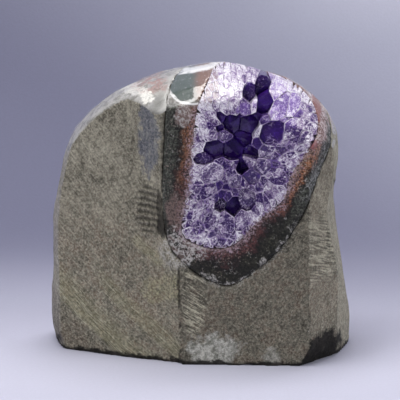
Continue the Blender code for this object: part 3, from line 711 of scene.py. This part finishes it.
def makeAmethyst():
    look = crystalLook
    part = look["paleness"]
    envelope = copyOf("amethyst_crystals", "envelope")
    bpy.ops.object.mode_set(mode="EDIT")
    bpy.ops.mesh.select_all(action="SELECT")
    bpy.ops.mesh.convex_hull()
    bpy.ops.object.mode_set(mode="OBJECT")
    hull = treeOf(envelope)
    dropMesh(envelope)
    rindTree = treeOf(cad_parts["agate_rind"])
    dice = random.Random(look["seed"] + 1)

    def hit(flat, fromBack=False):
        side = 1 if fromBack else -1
        place = hull.ray_cast(Vector((flat.x, side * 90, flat.y)) * mm, Vector((0, -side, 0)))[0]
        return place and place.y / mm

    def reached(flat, middle):  # the point itself, or the last one towards it that is still over the stone
        if hit(flat) is not None:
            return flat
        near, far = 0.0, 1.0
        for turn in range(8):
            half = (near + far) / 2
            near, far = (half, far) if hit(middle.lerp(flat, half)) is not None else (near, half)
        return middle.lerp(flat, near)

    form = bmesh.new()
    tones = form.verts.layers.float.new("tone")
    edges = form.verts.layers.float.new("toEdge")
    for outline, depth, pale in crystalCells(crystalSeeds()):
        middle = sum(outline, Vector((0, 0))) / len(outline)
        if hit(middle) is None:
            inside = [p for p in outline if hit(p) is not None]
            if len(inside) < 1:
                continue
            middle = sum(inside, Vector((0, 0))) / len(inside)
            if hit(middle) is None:
                continue
        outline = [reached(p, middle) for p in outline]
        if pale is None:
            rim = rindTree.find_nearest(Vector((middle.x, polishedDepth(*middle), middle.y)) * mm)[3] / mm
            upperLeft = min(1, max(0, (middle.y - 74) / 20)) * min(1, max(0, 1 - (middle.x - 2) / 22))
            # painted light: crystals high on the dome are made paler, where the lamp above lights them
            dome = min(1, max(0, (middle.y - 88) / 10))
            upperRight = min(1, max(0, (middle.x - 25) / 6)) * min(1, max(0, (middle.y - 84) / 6))
            pale = (part["rim"] - part["inward"] * min(rim, 9) + part["upperLeft"] * upperLeft
                    + part["dome"] * dome + part["upperRight"] * upperRight
                    + dice.uniform(-part["spread"], part["spread"]))
        slope = Vector((dice.uniform(-1, 1), dice.uniform(-1, 1))) * min(0.16, depth * 0.4)
        rise = 0 if depth < 1 else min(1.4, depth * 0.2)
        top, rim, back = [], [], []
        for p in outline:
            short = min(0.42, look["edge"] * dice.uniform(0.2, 1.7) / max(0.2, (p - middle).length))
            inner = p.lerp(middle, short)
            if depth < 1:
                inner = inner if hit(inner) is not None else middle
                top.append((inner.x, hit(inner) + depth + slope.dot(inner - middle), inner.y))
                rim.append((p.x, hit(p) + depth + slope.dot(p - middle) + look["edge"] * 0.5, p.y))
            else:
                drop = rise * dice.uniform(0.75, 1.3)
                top.append((inner.x, hit(middle) + depth + drop, inner.y))
                rim.append((p.x, hit(middle) + depth + drop + 0.2, p.y))
            back.append((p.x, max(hit(p, True), rim[-1][1] + 0.3), p.y))
        tip = middle if depth < 1 else middle + Vector((dice.uniform(-0.25, 0.25), dice.uniform(-0.25, 0.25)))
        point = form.verts.new((tip.x, hit(middle) + depth, tip.y))
        rings = [[form.verts.new(p) for p in ring] for ring in (top, rim, back)]
        end = form.verts.new((middle.x, sum(p[1] for p in back) / len(back), middle.y))
        for vert in [point, end] + rings[0] + rings[1] + rings[2]:
            vert[tones] = pale
            vert[edges] = min(9, rindTree.find_nearest(vert.co * mm)[3] / mm)
        for vert in rings[0]:
            vert[tones] = pale + (dice.uniform(-0.1, 0.12) if depth < 1 else 0)
        for k in range(len(outline)):
            j = (k + 1) % len(outline)
            form.faces.new((rings[0][k], rings[0][j], point))
            frost = form.faces.new((rings[1][k], rings[1][j], rings[0][j], rings[0][k]))
            frost.material_index = 1 if depth < 1 else 0
            form.faces.new((rings[2][k], rings[2][j], rings[1][j], rings[1][k]))
            form.faces.new((rings[2][j], rings[2][k], end))
    bmesh.ops.scale(form, vec=(mm, mm, mm), verts=form.verts)
    bmesh.ops.recalc_face_normals(form, faces=form.faces)
    mesh = bpy.data.meshes.new("amethystCrystals")
    form.to_mesh(mesh)
    form.free()
    crystals = bpy.data.objects.new("amethystCrystals", mesh)
    bpy.context.scene.collection.objects.link(crystals)
    fuller(crystals)
    crystals.data.materials.append(amethystMaterial(look))
    crystals.data.materials.append(frostMaterial(look))
    smooth(crystals, 12)
    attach(crystals, "root")
    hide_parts("amethyst_crystals")
    print("amethyst crystals:", len(crystals.data.polygons), "faces")


# floor, backdrop and lights
studio = {
    "near": (0.55, 0.548, 0.655), "far": (0.15, 0.152, 0.225), "high": (0.39, 0.396, 0.488),  # cloth, floor to wall, with painted light and shade: bright in front, dark at the wall's foot, lighter up the wall
    "litPatch": (0.72, 0.72, 0.82), "wall": 0.3, "bend": 0.16, "air": 0.22, "airColour": (0.86, 0.88, 1, 1),
    # name, place, size, power and colour
    "lamps": [
        ("overhead", (-0.08, 0.1, 0.85), (0.8, 0.26), 7.0, (1, 0.99, 0.98)),
        ("leftFill", (-0.6, -0.6, 0.5), (0.4, 0.4), 2.95, (1, 1, 1)),
        ("rightFill", (0.75, -0.25, 0.35), (0.3, 0.5), 2.2, (1, 1, 1)),
    ],
}


def makeStudio():
    bpy.ops.object.select_all(action="DESELECT")
    bend, wall = studio["bend"], studio["wall"]
    profile = [(-1.6, 0)]  # y and z of the cloth: along the floor, round the bend and up the wall
    for degrees in range(0, 91, 6):
        a = math.radians(degrees)
        profile.append((wall - bend + bend * math.sin(a), bend - bend * math.cos(a)))
    profile.append((wall, 1.6))
    mesh = bpy.data.meshes.new("backdrop")
    verts = [(x, y, z) for y, z in profile for x in (-2.5, 2.5)]
    faces = [(2 * k, 2 * k + 1, 2 * k + 3, 2 * k + 2) for k in range(len(profile) - 1)]
    mesh.from_pydata(verts, [], faces)
    backdrop = bpy.data.objects.new("backdrop", mesh)
    bpy.context.scene.collection.objects.link(backdrop)
    b = Board("paleCloth")
    weave = b.noise(0.9, 2, 0.5)
    # painted light and shade on the cloth: bright in front, darker towards the wall's foot, lighter up the wall and
    # brightest high on the right
    cloth = b.mix(studio["near"], studio["far"], b.step(b.y, -60, 190))
    cloth = b.mix(cloth, studio["high"], b.step(b.z + b.x * 0.5, 10, 170))
    cloth = b.mix(cloth, studio["litPatch"], b.step(b.x, 5, 110) * b.step(b.z, 70, 150) * 0.85)
    behind = b.add("ShaderNodeNewGeometry", out="Backfacing")  # clear from behind, so that the back can be viewed
    backdrop.data.materials.append(b.finish(b.shade(Base_Color=b.scale(cloth, 0.95 + weave * 0.1), Roughness=0.9,
                                                    Normal=b.bump(weave, 0.0002, 0.3), Alpha=1 - behind)))
    smooth(backdrop, 60)

    for name, place, size, power, colour in studio["lamps"]:
        bpy.ops.object.light_add(type="AREA", location=place)
        lamp = bpy.context.object
        lamp.name = name
        lamp.data.shape = "RECTANGLE"
        lamp.data.size, lamp.data.size_y = size
        lamp.data.energy = power
        lamp.data.color = colour
        lamp.rotation_euler = (Vector((0, 0, 0.05)) - Vector(place)).to_track_quat("-Z", "Y").to_euler()

    air = bpy.data.worlds.new("air")
    air.use_nodes = True
    air.node_tree.nodes["Background"].inputs["Color"].default_value = studio["airColour"]
    air.node_tree.nodes["Background"].inputs["Strength"].default_value = studio["air"]
    bpy.context.scene.world = air
    bpy.context.scene.view_settings.view_transform = "Standard"
    print("studio ready")


makeBasalt()
makeRind()
makeAmethyst()
makeStudio()
